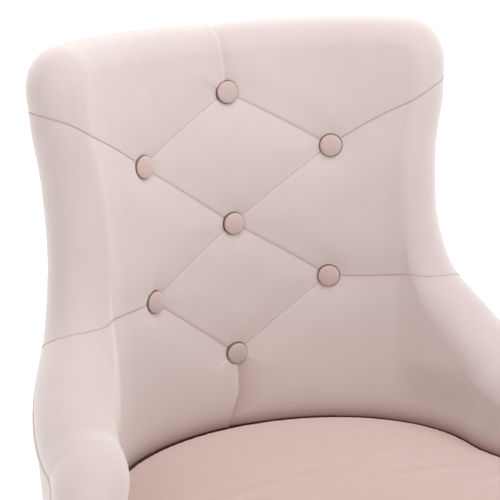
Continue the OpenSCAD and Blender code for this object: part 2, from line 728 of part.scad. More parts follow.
floor_pad();
base_plate();
base_cover();
pump_casting();
base_bolts();
base_nuts();
pump_shroud();
cylinder_sleeve();
gland_nut();
gland_bush();
wiper_seal();
lever_pin();
oil_plug();
pump_plunger();
plunger_spring();
pump_lever();
pedal_pad();
piston_head();
piston_seals();
thrust_race_lower();
thrust_balls();
thrust_race_upper();
lift_ram();
seat_hub();
hub_screws();
mounting_plate();
plate_bolts();
t_nuts();
bottom_board();
seat_ring();
seat_webbing();
seat_foam();
seat_cover();
front_border();
dust_cover();
back_frame();
frame_screws();
inside_foam();
inside_cover();
outside_foam();
outside_cover();
rim_welt();
tufting_buttons();
button_ties();
footrest_frame();
footrest_brackets();
footrest_bolts();
foot_plate();
foot_plate_treads();
foot_plate_screws();
tube_caps();
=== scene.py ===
"""Looks of the hydraulic styling chair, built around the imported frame."""

import math

import bpy
import numpy as np
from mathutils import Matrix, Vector, kdtree


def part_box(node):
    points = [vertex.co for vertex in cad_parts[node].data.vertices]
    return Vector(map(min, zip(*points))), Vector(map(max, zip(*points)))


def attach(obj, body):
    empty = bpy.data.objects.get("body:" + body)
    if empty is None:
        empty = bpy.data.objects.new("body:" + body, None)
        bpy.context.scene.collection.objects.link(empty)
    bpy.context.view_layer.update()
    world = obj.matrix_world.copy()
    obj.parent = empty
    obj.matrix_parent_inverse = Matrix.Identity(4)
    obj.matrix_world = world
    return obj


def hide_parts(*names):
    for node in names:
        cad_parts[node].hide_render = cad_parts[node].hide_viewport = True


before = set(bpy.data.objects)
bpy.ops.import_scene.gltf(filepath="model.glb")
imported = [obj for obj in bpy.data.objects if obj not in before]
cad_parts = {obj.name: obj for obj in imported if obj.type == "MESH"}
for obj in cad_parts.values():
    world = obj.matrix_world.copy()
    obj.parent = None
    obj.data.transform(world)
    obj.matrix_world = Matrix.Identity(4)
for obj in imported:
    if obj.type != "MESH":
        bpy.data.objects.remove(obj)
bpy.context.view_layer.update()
MM = 0.001
UP = np.array([0, 0, 1.0])

# ---- Tub surface, the same as in part.scad, in metres ----
BOTTOM = -0.145             # lower edge, from the seat line
SEAT_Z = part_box("outside_cover")[0].z - BOTTOM
BACK_Y = 0.242              # the sheet at the middle of the back
FULL_H = 0.450              # height at which the upper width and depth are reached
HALF_W, TOP_HALF_W, FLARE_W = 0.266, 0.328, 1.15
DEPTH, TOP_DEPTH, FLARE_D = 0.209, 0.308, 1.11
LEAN, BOW = 0.031, 0.042
ARM_UNIT, SPLAY, SPLAY_RISE, SPLAY_EASE = 0.200, 0.108, 0.089, 0.25
BACK_T, ARM_T = 0.036, 0.038
ARM_SWELL = 0.012           # how much fuller the padding is inside the arms
RIM_KEYS = np.array([
    (0, 0.455), (0.18, 0.457), (0.42, 0.459), (0.482, 0.453), (0.494, 0.413), (0.486, 0.338),
    (0.52, 0.237), (0.63, 0.155), (0.91, 0.084), (1.15, 0.058), (1.33, 0.006), (1.45, -0.062),
    (1.5, -0.144)])
REACH = 0.88                # how far round the lower edge goes, as a share of the rim's last s
RIB_BOW = 0.045             # how far the ribs beside the back bow inwards, in s


def smooth(x):
    """Soft step from 0 to 1, for x from 0 to 1."""
    x = np.clip(x, 0, 1)
    return x * x * (3 - 2 * x)


def core(s, z):
    """Point of the tub's core sheet: s runs round it, z is the height above the seat line."""
    s, z = np.broadcast_arrays(np.asarray(s, float), np.asarray(z, float))
    up = np.maximum(z / FULL_H, 1e-4)
    width = HALF_W + (TOP_HALF_W - HALF_W) * up ** FLARE_W
    depth = DEPTH + (TOP_DEPTH - DEPTH) * up ** FLARE_D
    turn = np.minimum(abs(s), 1) * math.pi / 2
    e = np.maximum(abs(s) - 1, 0)
    splay = (SPLAY + SPLAY_RISE * np.clip(z / FULL_H, -0.3, 0.4)) * e * e / (e + SPLAY_EASE)
    lean = (LEAN - BOW) * up + BOW * up * up
    x = np.sign(s) * (width * np.sin(turn) + splay)
    y = BACK_Y + lean - depth * (1 - np.cos(turn)) - ARM_UNIT * e
    return np.stack([x, y, SEAT_Z + z], -1)


def unit(v):
    """Vectors scaled to length 1."""
    return v / np.linalg.norm(v, axis=-1, keepdims=True)


def inward(s, z):
    """Normal of the sheet, towards the sitter."""
    h, dz = 0.002, 0.0005
    return unit(np.cross(core(s + h, z) - core(s - h, z), core(s, z + dz) - core(s, z - dz)))


def rim(t):
    """[s, z] of the rim, t from -1 at the left arm's foot to 1 at the right arm's foot."""
    last = len(RIM_KEYS) - 1
    keys = np.vstack([RIM_KEYS[1] * (-1, 1), RIM_KEYS, 2 * RIM_KEYS[last] - RIM_KEYS[last - 1]])
    u = np.abs(t) * last
    i = np.minimum(np.floor(u).astype(int), last - 1)
    f = (u - i)[..., None]
    a, b, c, d = (keys[i + k] for k in range(4))
    square, cube = 2 * a - 5 * b + 4 * c - d, 3 * b - a - 3 * c + d
    p = 0.5 * (2 * b + (c - a) * f + square * f ** 2 + cube * f ** 3)
    return np.stack([p[..., 0] * np.where(t < 0, -1, 1), p[..., 1]], -1)


def half_t(t):
    """Half of the tub's thickness at its rim."""
    return BACK_T + (ARM_T - BACK_T) * smooth((np.abs(t) - 0.35) / 0.3)


def pad_r(t, v):
    """Distance of the inside cover from the core: fuller inside the arms, above the cushion."""
    above = rib(t, np.minimum(v, 1))[..., 1]
    arm = smooth((np.abs(t) - 0.50) / 0.12) * smooth((above - 0.030) / 0.06)
    over = (1 + np.cos(math.pi * np.clip(v - 1, 0, 1))) / 2
    return half_t(t) + ARM_SWELL * arm * over


def rim_frame(t):
    """Rim point, its normal towards the sitter and its direction out of the rim."""
    h = 0.004
    s, z = np.moveaxis(rim(t), -1, 0)
    ahead, behind = (core(*np.moveaxis(rim(np.clip(t + k, -1, 1)), -1, 0)) for k in (h, -h))
    n = inward(s, z)
    return core(s, z), n, unit(np.cross(n, ahead - behind))


def foot(t):
    """[s, z] of the tub's lower edge, where the rib of t starts."""
    return np.stack([t * RIM_KEYS[-1][0] * REACH, np.minimum(BOTTOM, rim(t)[..., 1] - 0.002)], -1)


def rib(t, v):
    """[s, z] up a rib of the tub. Beside the back the ribs bow inwards, so that none crosses the rim."""
    bow = RIB_BOW * smooth((np.abs(t) - 0.2) / 0.12) * smooth((0.62 - np.abs(t)) / 0.12)
    v = v[..., None]
    bent = np.stack([-np.sign(t) * bow, 0 * t], -1) * 4 * v * (1 - v)
    return foot(t) * (1 - v) + rim(t) * v + bent


def layer_frame(t, v):
    """Core point and outward direction of a layer: v runs up a rib to 1 at the rim, and over it to 2."""
    s, z = np.moveaxis(rib(t, np.clip(v, 0, 1)), -1, 0)
    p, n, o = rim_frame(t)
    turn = math.pi * np.clip(v - 1, 0, 1.2)[..., None]
    below = v[..., None] <= 1
    rolled = np.cos(turn) * n + np.sin(turn) * o
    return np.where(below, core(s, z), p), np.where(below, inward(s, z), rolled)


def layer_point(t, v, r):
    """Point of a layer at distance r from the core."""
    p, n = layer_frame(t, v)
    return p + r[..., None] * n


def rim_columns(fine, coarse):
    """Values of t spaced evenly along the rim: closely over the tufted back, and wider along the arms."""
    back_end_t = 0.42
    t = np.linspace(-1, 1, 4001)
    p = rim_frame(t)[0]
    step = np.linalg.norm(np.diff(p, axis=0), axis=-1)
    middle = np.abs(t[1:] + t[:-1]) / 2
    blend = smooth((middle - back_end_t) / 0.06)
    count = np.concatenate([[0], np.cumsum(step / (fine + (coarse - fine) * blend))])
    return np.interp(np.linspace(0, count[-1], int(count[-1])), count, t)


# ---- Mesh helpers ----
def shade_smooth(mesh):
    mesh.polygons.foreach_set("use_smooth", [True] * len(mesh.polygons))


def mesh_object(name, points, faces, smooth_shade=True):
    mesh = bpy.data.meshes.new(name)
    mesh.from_pydata([tuple(p) for p in points], [], [tuple(f) for f in faces])
    mesh.validate()
    mesh.update()
    if smooth_shade:
        shade_smooth(mesh)
    obj = bpy.data.objects.new(name, mesh)
    bpy.context.scene.collection.objects.link(obj)
    return obj


def grid_faces(rows, cols, wrap=False):
    """Quads of a grid of points given row by row, closed round each row if it wraps."""
    i, j = np.meshgrid(np.arange(rows - 1), np.arange(cols if wrap else cols - 1), indexing="ij")
    k = (j + 1) % cols
    quads = np.stack([i * cols + j, i * cols + k, (i + 1) * cols + k, (i + 1) * cols + j], -1)
    return quads.reshape(-1, 4)


def join_blocks(blocks):
    """One list of points and faces from several (points, faces) blocks."""
    points, faces, base = [], [], 0
    for p, f in blocks:
        p = np.asarray(p).reshape(-1, 3)
        points.append(p)
        faces += [tuple(int(i) + base for i in face) for face in f]
        base += len(p)
    return np.vstack(points), faces


def point_attribute(obj, name, values):
    """Stores a number for each vertex, for the material to read."""
    data = obj.data.attributes.new(name, "FLOAT", "POINT").data
    data.foreach_set("value", np.asarray(values, np.float32))


def resample(points, step=None, count=None):
    """Points evenly spaced along a line, a step apart or a given number of them."""
    run = np.concatenate([[0], np.cumsum(np.linalg.norm(np.diff(points, axis=0), axis=-1))])
    at = np.linspace(0, run[-1], count or max(int(run[-1] / step), 2))
    return np.stack([np.interp(at, run, points[:, k]) for k in range(points.shape[1])], -1)


def finish_piece(obj, material, slot, *replaced):
    """Gives a piece its material, puts it on the seat body and hides the CAD nodes it replaces."""
    obj.data.materials.clear()
    obj.data.materials.append(material)
    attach(obj, "seat")
    if replaced:
        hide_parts(*replaced)
    return obj


# ---- Tufting: buttons, seams and the folds between them ----
PAD_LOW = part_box("seat_cover")[0].z - SEAT_Z + 0.001       # where the inside cover starts
BUTTON_R = 0.0135
BUTTON_SINK = 0.0044
COLUMN = [(0, 0.412), (0, 0.257), (0, 0.096)]
PAIRS = [(0.285, 0.343), (0.293, 0.184)]
BUTTONS = COLUMN + [(side * s, z) for s, z in PAIRS for side in (-1, 1)]
SEAM_RISE = [(0.306, -0.259), (-0.009, 0.136)]     # rise and bow of the two side seams of each side
SEAM_DRIFT = [-0.050, 0.035]                       # their drift in t as they pass over the rim
PLEAT_LEAN = -0.012                                # s gained by the top pleat at the rim
PLEAT_TURN, PLEAT_TURN_Z = -0.035, 0.05            # s gained by the bottom pleat, below this height
SEAM_STEP = 0.0015
METRES_PER_S = 0.4                                 # length of a unit of s, roughly
BACK_EDGE = RIM_KEYS[3:8]                          # the rim's keys down the side of the back


def rim_t_at(s_end, z_end):
    """The t at which the rim passes closest to a place on the sheet."""
    t = np.linspace(0, 1, 2001)
    gap = (rim(t) - (s_end, z_end)) * (METRES_PER_S, 1)
    return t[np.argmin((gap ** 2).sum(-1))]


def on_cover(s, z):
    """Point of the inside cover, before tufting, in front of a place on the sheet."""
    thick = BACK_T + (ARM_T - BACK_T) * smooth((np.abs(s) - 0.4) / 0.5)
    return core(s, z) + thick[..., None] * inward(s, z)


def over_rim(t0, drift=0.0):
    """Points on the cover from the rim over the roll, drifting along the rim."""
    v = np.linspace(1, 1.95, 60)
    t = t0 + drift * np.sin(np.minimum((v - 1) / 0.75, 1) * math.pi / 2)
    return layer_point(t, v, half_t(t))


def straight_seam(a, b):
    """Fold from one button to the next."""
    f = np.linspace(0, 1, 80)
    s, z = (a[k] + (b[k] - a[k]) * f for k in (0, 1))
    return on_cover(s, z)


def side_seam(pair, side):
    """Stitched seam from an outer button to the rim and over it."""
    s0, z0 = PAIRS[pair]
    rise, bow = SEAM_RISE[pair]
    s = np.linspace(s0, 0.56, 200)
    z = z0 + rise * (s - s0) + bow * (s - s0) ** 2
    edge = np.interp(z, BACK_EDGE[::-1, 1], BACK_EDGE[::-1, 0])
    inside = s < edge
    s, z = s[inside], z[inside]
    t0 = rim_t_at(s[-1], z[-1])
    return np.vstack([on_cover(s * side, z), over_rim(side * t0, side * SEAM_DRIFT[pair])])


def pleat_top():
    """Fold from the top button over the middle of the rim, leaning to one side."""
    z = np.linspace(COLUMN[0][1], RIM_KEYS[0, 1], 60)
    s = PLEAT_LEAN * (z - z[0]) / (z[-1] - z[0])
    return np.vstack([on_cover(s, z), over_rim(rim_t_at(-s[-1], z[-1]) * -1)])


def pleat_bottom():
    """Fold from the lowest button down behind the cushion, turning aside on its way."""
    z = np.linspace(COLUMN[2][1], PAD_LOW, 80)
    return on_cover(PLEAT_TURN * smooth((PLEAT_TURN_Z - z) / PLEAT_TURN_Z), z)


def all_seams():
    """Kind and points of every fold and seam."""
    top, mid, low = COLUMN
    diamonds = []
    for side in (-1, 1):
        upper, lower = ((side * s, z) for s, z in PAIRS)
        diamonds += [(top, upper), (upper, mid), (mid, lower), (lower, low)]
    rows = [("diamond", resample(straight_seam(a, b), SEAM_STEP)) for a, b in diamonds]
    rows += [("side", resample(side_seam(pair, side), SEAM_STEP)) for pair in (0, 1) for side in (-1, 1)]
    rows.append(("pleat_top", resample(pleat_top(), SEAM_STEP)))
    rows.append(("pleat_bottom", resample(pleat_bottom(), SEAM_STEP)))
    return rows


SEAMS = all_seams()
BUTTON_POINTS = np.array([on_cover(np.array(s), np.array(z)) for s, z in BUTTONS])
BUTTON_NORMALS = np.array([inward(np.array(s), np.array(z)) for s, z in BUTTONS])
BUTTON_SEATS = BUTTON_POINTS - BUTTON_SINK * BUTTON_NORMALS
# Depths in mm of the valley and of the sharp crease along each kind of seam, and the step across a pleat
SEAM_SHAPE = {"diamond": (1.9, 0.8, 0.5), "side": (1.2, 0.6, 0.0), "pleat_top": (1.0, 0.5, 2.4),
              "pleat_bottom": (1.2, 0.0, -1.8)}
# Painted shade in a thin line along the crease of each kind of seam, as a share
SEAM_LINE_SHADE = {"diamond": 1.0, "side": 1.0, "pleat_top": 0.5, "pleat_bottom": 0.0}
# Painted shade on one side of a pleat, to the right of the seam's direction when positive
PLEAT_SHADE = {"diamond": 0, "side": 0, "pleat_top": 0.12, "pleat_bottom": -0.34}
# Widths over which these fade out beside a seam, and over which the step and the painted shade change
# sides
VALLEY_W, CREASE_W, STEP_W, LINE_W, PLEAT_SHADE_W = 0.026, 0.0040, 0.014, 0.0030, 0.030
STEP_EDGE, PLEAT_SHADE_EDGE = 0.0015, 0.001
BLUR_REACH, BLUR_PASSES = 2, 3
# Depth of the dimples and height of the velvet puffed up between the seams, in mm, and their reaches
DIMPLE_DEPTH, PUFF = 3.2, 2.0
DIMPLE_W, BUTTON_PULL_W, PUFF_W, PUFF_REACH = 0.020, 0.05, 0.05, 0.09


def blurred(field):
    """The field of a grid, averaged over the neighbours of each point several times over."""
    size = 2 * BLUR_REACH + 1
    for _ in range(BLUR_PASSES):
        for axis in (0, 1):
            pad = [(BLUR_REACH, BLUR_REACH) if k == axis else (0, 0) for k in (0, 1)]
            wide = np.pad(field, pad, mode="edge")
            count = field.shape[axis]
            field = sum(np.take(wide, range(k, k + count), axis) for k in range(size)) / size
    return field


def tuft_depth(points, normals):
    """How far each point of the cover's grid sinks in metres, and the values for the painted shade along
    its seams and pleats.
    """
    shape_of_grid = points.shape[:2]
    points, normals = points.reshape(-1, 3), normals.reshape(-1, 3)
    tree = kdtree.KDTree(sum(len(p) for _, p in SEAMS))
    owners = []
    for index, (kind, line) in enumerate(SEAMS):
        along = unit(np.gradient(line, axis=0))
        for k, p in enumerate(line):
            tree.insert(Vector(p), len(owners))
            owners.append((index, along[k]))
    tree.balance()
    near = [tree.find(Vector(p)) for p in points]
    seam_points = np.array([n[0] for n in near])
    seam_of = np.array([owners[n[1]][0] for n in near])
    seam_dir = np.array([owners[n[1]][1] for n in near])
    dist = np.array([n[2] for n in near])
    side = (np.cross(seam_dir, normals) * (points - seam_points)).sum(-1)
    shape = np.array([SEAM_SHAPE[kind] for kind, _ in SEAMS])[seam_of]
    button = np.linalg.norm(points[:, None] - BUTTON_POINTS[None], axis=-1).min(-1)
    pull = np.exp(-(button / BUTTON_PULL_W) ** 2)
    valley = shape[:, 0] * (1 + 0.9 * pull) * np.exp(-(dist / VALLEY_W) ** 2)
    crease = shape[:, 1] * (1 + 0.6 * pull) * np.exp(-dist / CREASE_W)
    step = shape[:, 2] * np.tanh(side / STEP_EDGE) * np.exp(-dist / STEP_W)
    dimple = DIMPLE_DEPTH * np.exp(-(button / DIMPLE_W) ** 2)
    puff = PUFF * (1 - np.exp(-(dist / PUFF_W) ** 2)) * np.exp(-(button / PUFF_REACH) ** 2)
    seam_line_shade = np.array([SEAM_LINE_SHADE[kind] for kind, _ in SEAMS])[seam_of]
    pleat_shade = np.array([PLEAT_SHADE[kind] for kind, _ in SEAMS])[seam_of]
    pleat_shade = np.maximum(pleat_shade * np.tanh(side / PLEAT_SHADE_EDGE), 0) * np.exp(-dist / PLEAT_SHADE_W)
    soft = blurred((valley + dimple - puff).reshape(shape_of_grid))
    sharp = (crease + step).reshape(shape_of_grid)
    shades = {"seam": seam_line_shade * np.exp(-(dist / LINE_W) ** 2), "seam_side": side, "pleat_shade": pleat_shade}
    return (soft + sharp) * MM, {name: value.reshape(shape_of_grid) for name, value in shades.items()}


# ---- Tub covers ----
FINE, COARSE = ((0.0017, 0.0045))    # spacing of a cover's points
RIB_L, ROLL_L, SHEET_L = 0.52, 0.11, 0.6      # longest rib, turn over the rim and outside panel
SEAT_END = 1.33                     # the s where the arms end beside the cushion's front
CUSHION_EDGE = SEAT_Z + 0.0045      # level of the cushion's top along its upper edge
CONTACT_Z = CUSHION_EDGE - 0.0032   # level at which its rounded edge meets the tub
HEM_DROP = 0.0015                   # how far the hem hangs below the frame
TUCK = 0.004                        # how deep both covers go in under the welt


def roll_end(t):
    """The v of the welt: behind the rim over the back, and further forward down the arm's front."""
    return 2 - 0.32 * smooth((np.abs(t) - 0.80) / 0.14)


def inside_start(t):
    """The v where the inside cover starts: at the cushion's underside, or at the arm's front."""
    low, top = foot(t), rim(t)
    at_pad = np.minimum((PAD_LOW - low[:, 1]) / (top[:, 1] - low[:, 1]), 0.75)
    at_arm = (SEAT_END + 0.01 - np.abs(low[:, 0])) / (np.abs(top[:, 0]) - np.abs(low[:, 0]))
    past_back = np.abs(t) > 0.7
    return np.where(past_back, np.clip(np.minimum(at_pad, at_arm), 0.02, 1), at_pad)


def fold_shade(height):
    """Painted shade on the velvet at a height above the line where it meets the cushion: a dark crevice
    line and a soft shadow above it.
    """
    crevice = smooth((0.0025 - height) / 0.0020)
    shadow = 0.58 * np.exp(-np.maximum(height, 0) / 0.018)
    return np.maximum(crevice, shadow)


def build_inside_cover():
    """Tufted velvet inside the tub, rolled over its rim to the welt."""
    t = rim_columns(FINE, COARSE)
    v0 = inside_start(t)
    row_stretch = 1.15      # rows lie this much further apart than columns
    rows, roll_rows = int(RIB_L / FINE / row_stretch), int(ROLL_L / FINE / row_stretch)
    climb = np.linspace(0, 1, rows)[:, None]
    roll = np.linspace(0, 1, roll_rows + 1)[1:, None]
    v = np.vstack([v0 + (1 - v0) * climb, 1 + roll * (roll_end(t) - 1)])
    t = np.broadcast_to(t, v.shape)
    p, n = layer_frame(t, v)
    p = p + pad_r(t, v)[..., None] * n
    depth, shades = tuft_depth(p, n)
    p = p - depth[..., None] * n
    # Painted shade along the line where the cover meets the cushion, and on one side of each pleat
    beside_cushion = (v <= 1) & (np.abs(rib(t, np.minimum(v, 1))[..., 0]) < SEAT_END)
    fold = np.where(beside_cushion, fold_shade(p[..., 2] - CONTACT_Z), 0)
    shades["fold"] = np.maximum(fold, shades.pop("pleat_shade"))
    p = np.concatenate([p, p[-1:] - TUCK * n[-1:]])
    obj = mesh_object("inside_cover_velvet", p.reshape(-1, 3), grid_faces(*p.shape[:2]))
    for name, value in shades.items():
        point_attribute(obj, name, np.concatenate([value, value[-1:]]).ravel())
    return obj


def build_outside_cover():
    """Plain velvet outside the tub, from the welt down to a hem turned under the lower edge."""
    t = rim_columns(COARSE, COARSE)
    row_stretch = 1.4
    climb = np.linspace(0, 1, int(SHEET_L / COARSE / row_stretch))[:, None]
    sheet = layer_point(t + 0 * climb, climb + 0 * t, -half_t(t + 0 * climb))
    low = foot(t)
    base, n = core(low[:, 0], low[:, 1]), inward(low[:, 0], low[:, 1])
    hem_rows = ((0.006, HEM_DROP), (-0.012, HEM_DROP), (0.004 - ARM_T, HEM_DROP), (0.0012 - ARM_T, 0.0008))
    hem = [base + r * n - drop * UP for r, drop in hem_rows]
    end = roll_end(t)
    turned = [2 - (2 - end) * f for f in np.linspace(0.2, 1, 5)]
    over = [layer_point(t, v, pad_r(t, v)) for v in turned]
    tuck = layer_point(t, end, pad_r(t, end) - TUCK)
    p = np.concatenate([np.array(hem), sheet, np.array(over), tuck[None]])
    blocks = [(p, grid_faces(*p.shape[:2])[:, ::-1]), arm_foot_cap(-1), arm_foot_cap(1)]
    return mesh_object("outside_cover_velvet", *join_blocks(blocks))


def arm_foot_cap(side):
    """Flat underside of an arm's front roll."""
    start = inside_start(np.array([side * 1.0]))[0]
    inner = np.concatenate([np.linspace(start, 1, 6), np.linspace(1, 2, 17)[1:]])
    outer = np.linspace(1, 0, 6)[1:]
    inner_t, outer_t = side + 0 * inner, side + 0 * outer
    inner_side = layer_point(inner_t, inner, half_t(inner_t))
    loop = np.vstack([inner_side, layer_point(outer_t, outer, -half_t(outer_t))])
    loop[:, 2] = SEAT_Z + BOTTOM - HEM_DROP
    ring = len(loop)
    faces = [(k, (k + 1) % ring, ring) for k in range(ring)]
    return np.vstack([loop, loop.mean(0)]), faces if side < 0 else [f[::-1] for f in faces]


# ---- Lathe and sweep shapes ----
def stood(points, place, normal):
    """Points of a turned shape, stood at a place with its axis along a normal."""
    turn = np.array(Vector(normal).normalized().to_track_quat("Z", "Y").to_matrix())
    return points @ turn.T + place


def lathe(profile, sides):
    """Rings of a turned profile of (radius, height) rows."""
    a = np.linspace(0, 2 * math.pi, sides, endpoint=False)
    r, z = np.array(profile).T
    return np.stack([r[:, None] * np.cos(a), r[:, None] * np.sin(a), z[:, None] + 0 * a], -1)


def sweep(path, normals, radius, sides):
    """Tube along a path, with its rings square to it and its ends drawn together."""
    along = unit(np.gradient(path, axis=0))
    across = unit(np.cross(along, normals))
    up = np.cross(across, along)
    a = np.linspace(0, 2 * math.pi, sides, endpoint=False)
    ring = np.cos(a)[None, :, None] * across[:, None] + np.sin(a)[None, :, None] * up[:, None]
    size = np.full(len(path), radius)
    size[0] = size[-1] = radius * 0.05
    points = path[:, None] + size[:, None, None] * ring
    return points.reshape(-1, 3), grid_faces(len(path), sides, wrap=True)


def build_buttons():
    """Domed buttons in gathered velvet, sunk in their dimples."""
    dome_h, rim_h, back_h = 0.0048, 0.0014, 0.0034
    rise = np.radians(np.linspace(84, 0, 10))
    fall = np.radians(np.linspace(15, 75, 5))
    dome = [(BUTTON_R * math.cos(a) ** 0.8, rim_h + (dome_h - rim_h) * math.sin(a)) for a in rise]
    turned = [(BUTTON_R * math.cos(a) ** 0.4, rim_h - (back_h + rim_h) * math.sin(a)) for a in fall]
    sides = 64
    one = np.vstack([lathe(dome + turned, sides).reshape(-1, 3), [(0, 0, dome_h)]])
    faces = [tuple(f) for f in grid_faces(len(dome + turned), sides, wrap=True)[:, ::-1]]
    faces += [(k, (k + 1) % sides, len(one) - 1) for k in range(sides)]
    blocks = [(stood(one, seat, normal), faces) for seat, normal in zip(BUTTON_SEATS, BUTTON_NORMALS)]
    return mesh_object("tufting_buttons_velvet", *join_blocks(blocks))


def build_ties():
    """Twine from each button through the padding to a washer behind the frame."""
    twine_r, bore_r, washer_r, washer_t, frame_back = 0.0010, 0.0005, 0.009, 0.0018, -0.0062
    edge = washer_r - 0.0006
    disc = lathe([(bore_r, -washer_t), (edge, -washer_t), (washer_r, -0.0012), (washer_r, -0.0003),
                  (edge, 0), (bore_r, 0)], 28)
    disc_faces = grid_faces(*disc.shape[:2], wrap=True)[:, ::-1]
    blocks = []
    for (s, z), normal in zip(BUTTONS, BUTTON_NORMALS):
        place = core(s, z)
        levels = np.array([frame_back, 0, 0.01, BACK_T - BUTTON_SINK - 0.002])
        path = place + levels[:, None] * normal
        blocks.append(sweep(path, np.broadcast_to(UP, path.shape), twine_r, 8))
        blocks.append((stood(disc.reshape(-1, 3), path[0], normal), disc_faces))
    return mesh_object("button_ties_twine", *join_blocks(blocks))


CORD_R, CORD_STEP = 0.0034, 0.004


def build_welt():
    """Covered cord between the inside and the outside cover."""
    t = rim_columns(CORD_STEP, CORD_STEP)
    path = layer_point(t, roll_end(t), pad_r(t, roll_end(t)) - 0.0012)
    normals = inward(*np.moveaxis(rim(t), -1, 0))
    return mesh_object("rim_welt_piping", *sweep(path, normals, CORD_R, 12))


STITCH_PITCH, STITCH_L, STITCH_R = 0.0036, 0.0024, 0.0004
# A stitch's middle line: shares of its length along the seam, and of its radius off the cover
STITCH_ARCH = [(-0.5, -0.5), (-0.36, 0.5), (0, 1), (0.36, 0.5), (0.5, -0.5)]


def build_stitches(cover):
    """Thread of the side seams, lying on the cover: one short capsule for each stitch."""
    blocks = []
    for kind, line in SEAMS:
        if kind != "side":
            continue
        centres = resample(line, STITCH_PITCH)[5:]      # the first five would lie under the button
        along = unit(np.gradient(centres, axis=0))
        for p, d in zip(centres, along):
            _, place, normal, _ = cover.closest_point_on_mesh(Vector(p))
            place, normal = np.array(place), np.array(normal)
            path = np.array([place + f * STITCH_L * d + h * STITCH_R * normal for f, h in STITCH_ARCH])
            blocks.append(sweep(path, np.broadcast_to(normal, path.shape), STITCH_R, 5))
    return mesh_object("seam_stitches", *join_blocks(blocks))


# ---- Seat ----
FRONT = core(1.43, BOTTOM)                 # where the arm's front meets the seat's
CUSHION_FRONT, FRONT_POWER = 0.215, 0.62   # the seat's reach past it, and the squareness of its corners
CUSHION_GAP = 0.040                        # from the core sheet to the cushion's side
CUSHION_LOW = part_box("seat_cover")[0].z
CUSHION_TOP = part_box("seat_cover")[1].z
BOARD_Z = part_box("bottom_board")[0].z


def front_curve(inset):
    """Half of the seat's front, from beside the arm to the middle."""
    a = np.radians(np.linspace(0, 90, 60))
    x = (FRONT[0] - inset) * np.maximum(np.cos(a), 0) ** FRONT_POWER
    y = FRONT[1] - (CUSHION_FRONT - inset) * np.sin(a) ** FRONT_POWER
    return np.stack([x, y], -1)


def seat_outline(inset, z, count=180, front_inset=None):
    """Closed outline of the seat at a height, its points starting from the middle of the back."""
    s = np.linspace(0, SEAT_END, 60)
    side = (core(s, z - SEAT_Z) + inset * inward(s, z - SEAT_Z))[:, :2]
    front = front_curve(inset if front_inset is None else front_inset)
    half = resample(np.vstack([side, front]), count=count // 2 + 1)
    return np.vstack([half, half[-2:0:-1] * (-1, 1)])


def with_z(outline, z):
    """Flat outline raised to a height, or each of its points to its own."""
    return np.column_stack([outline, z + np.zeros(len(outline))])


SIDE_ROUND, FRONT_ROUND = 0.004, 0.026     # radius of the upper edge beside the tub, and at the front
CROWN = 0.008
SLACK = 0.001                              # how much narrower than its place the cushion is cut


def front_share(points):
    """0 beside the tub, 1 at the cushion's front, with a soft change between them."""
    return smooth((FRONT[1] + 0.02 - points[:, 1]) / 0.06)


def cushion_ring(inset, front_inset, z):
    """Outline of the cushion at a height, with its own inset at the front."""
    side, front = seat_outline(CUSHION_GAP + inset, z), seat_outline(CUSHION_GAP + front_inset, z)
    share = front_share(side)[:, None]
    return with_z(side * (1 - share) + front * share, z)


def cushion_blank():
    """Closed form of the cushion before it swells: flat below, rounded at its edge, crowned on top."""
    under_inset, under_z = 0.010, CUSHION_LOW + 0.002
    rings = [cushion_ring(under_inset, under_inset, under_z)]
    for z in np.linspace(CUSHION_LOW + 0.006, CUSHION_EDGE - FRONT_ROUND, 7):
        rings.append(cushion_ring(SLACK, SLACK, z))
    for turn in np.radians(np.linspace(12, 90, 8)):
        rise = 1 - math.sin(turn)
        drawn = 1 - math.cos(turn)
        ring = cushion_ring(SLACK + SIDE_ROUND * drawn, SLACK + FRONT_ROUND * drawn, CUSHION_EDGE)
        ring[:, 2] -= (SIDE_ROUND + (FRONT_ROUND - SIDE_ROUND) * front_share(ring)) * rise
        rings.append(ring)
    rim_ring = rings[-1]
    centre = np.array([0, rim_ring[:, 1].mean(), CUSHION_EDGE])
    for share in np.linspace(1, 0, 14)[1:-1]:
        ring = centre + (rim_ring - centre) * share
        ring[:, 2] = CUSHION_EDGE + CROWN * (1 - share ** 2.2)
        rings.append(ring)
    grid = np.array(rings)
    rows, cols = grid.shape[:2]
    poles = np.array([[0, centre[1], CUSHION_EDGE + CROWN], [0, centre[1], under_z]])
    last, top, low = (rows - 1) * cols, rows * cols, rows * cols + 1
    faces = [tuple(f) for f in grid_faces(rows, cols, wrap=True)]
    faces += [(last + k, last + (k + 1) % cols, top) for k in range(cols)]
    faces += [((k + 1) % cols, k, low) for k in range(cols)]
    return mesh_object("seat_cushion_velvet", np.vstack([grid.reshape(-1, 3), poles]), faces)


def mesh_points(mesh):
    co = np.empty(len(mesh.vertices) * 3)
    mesh.vertices.foreach_get("co", co)
    return co.reshape(-1, 3)


def set_points(obj, points):
    obj.data.vertices.foreach_set("co", points.ravel())
    obj.data.update()


def apply_modifier(obj, modifier):
    bpy.context.view_layer.objects.active = obj
    bpy.ops.object.modifier_apply(modifier=modifier.name)


def remesh(obj, voxel):
    modifier = obj.modifiers.new("voxels", "REMESH")
    modifier.mode = "VOXEL"
    modifier.voxel_size = voxel
    apply_modifier(obj, modifier)


def subdivide(obj):
    modifier = obj.modifiers.new("smoother", "SUBSURF")
    modifier.levels = modifier.render_levels = 1
    apply_modifier(obj, modifier)


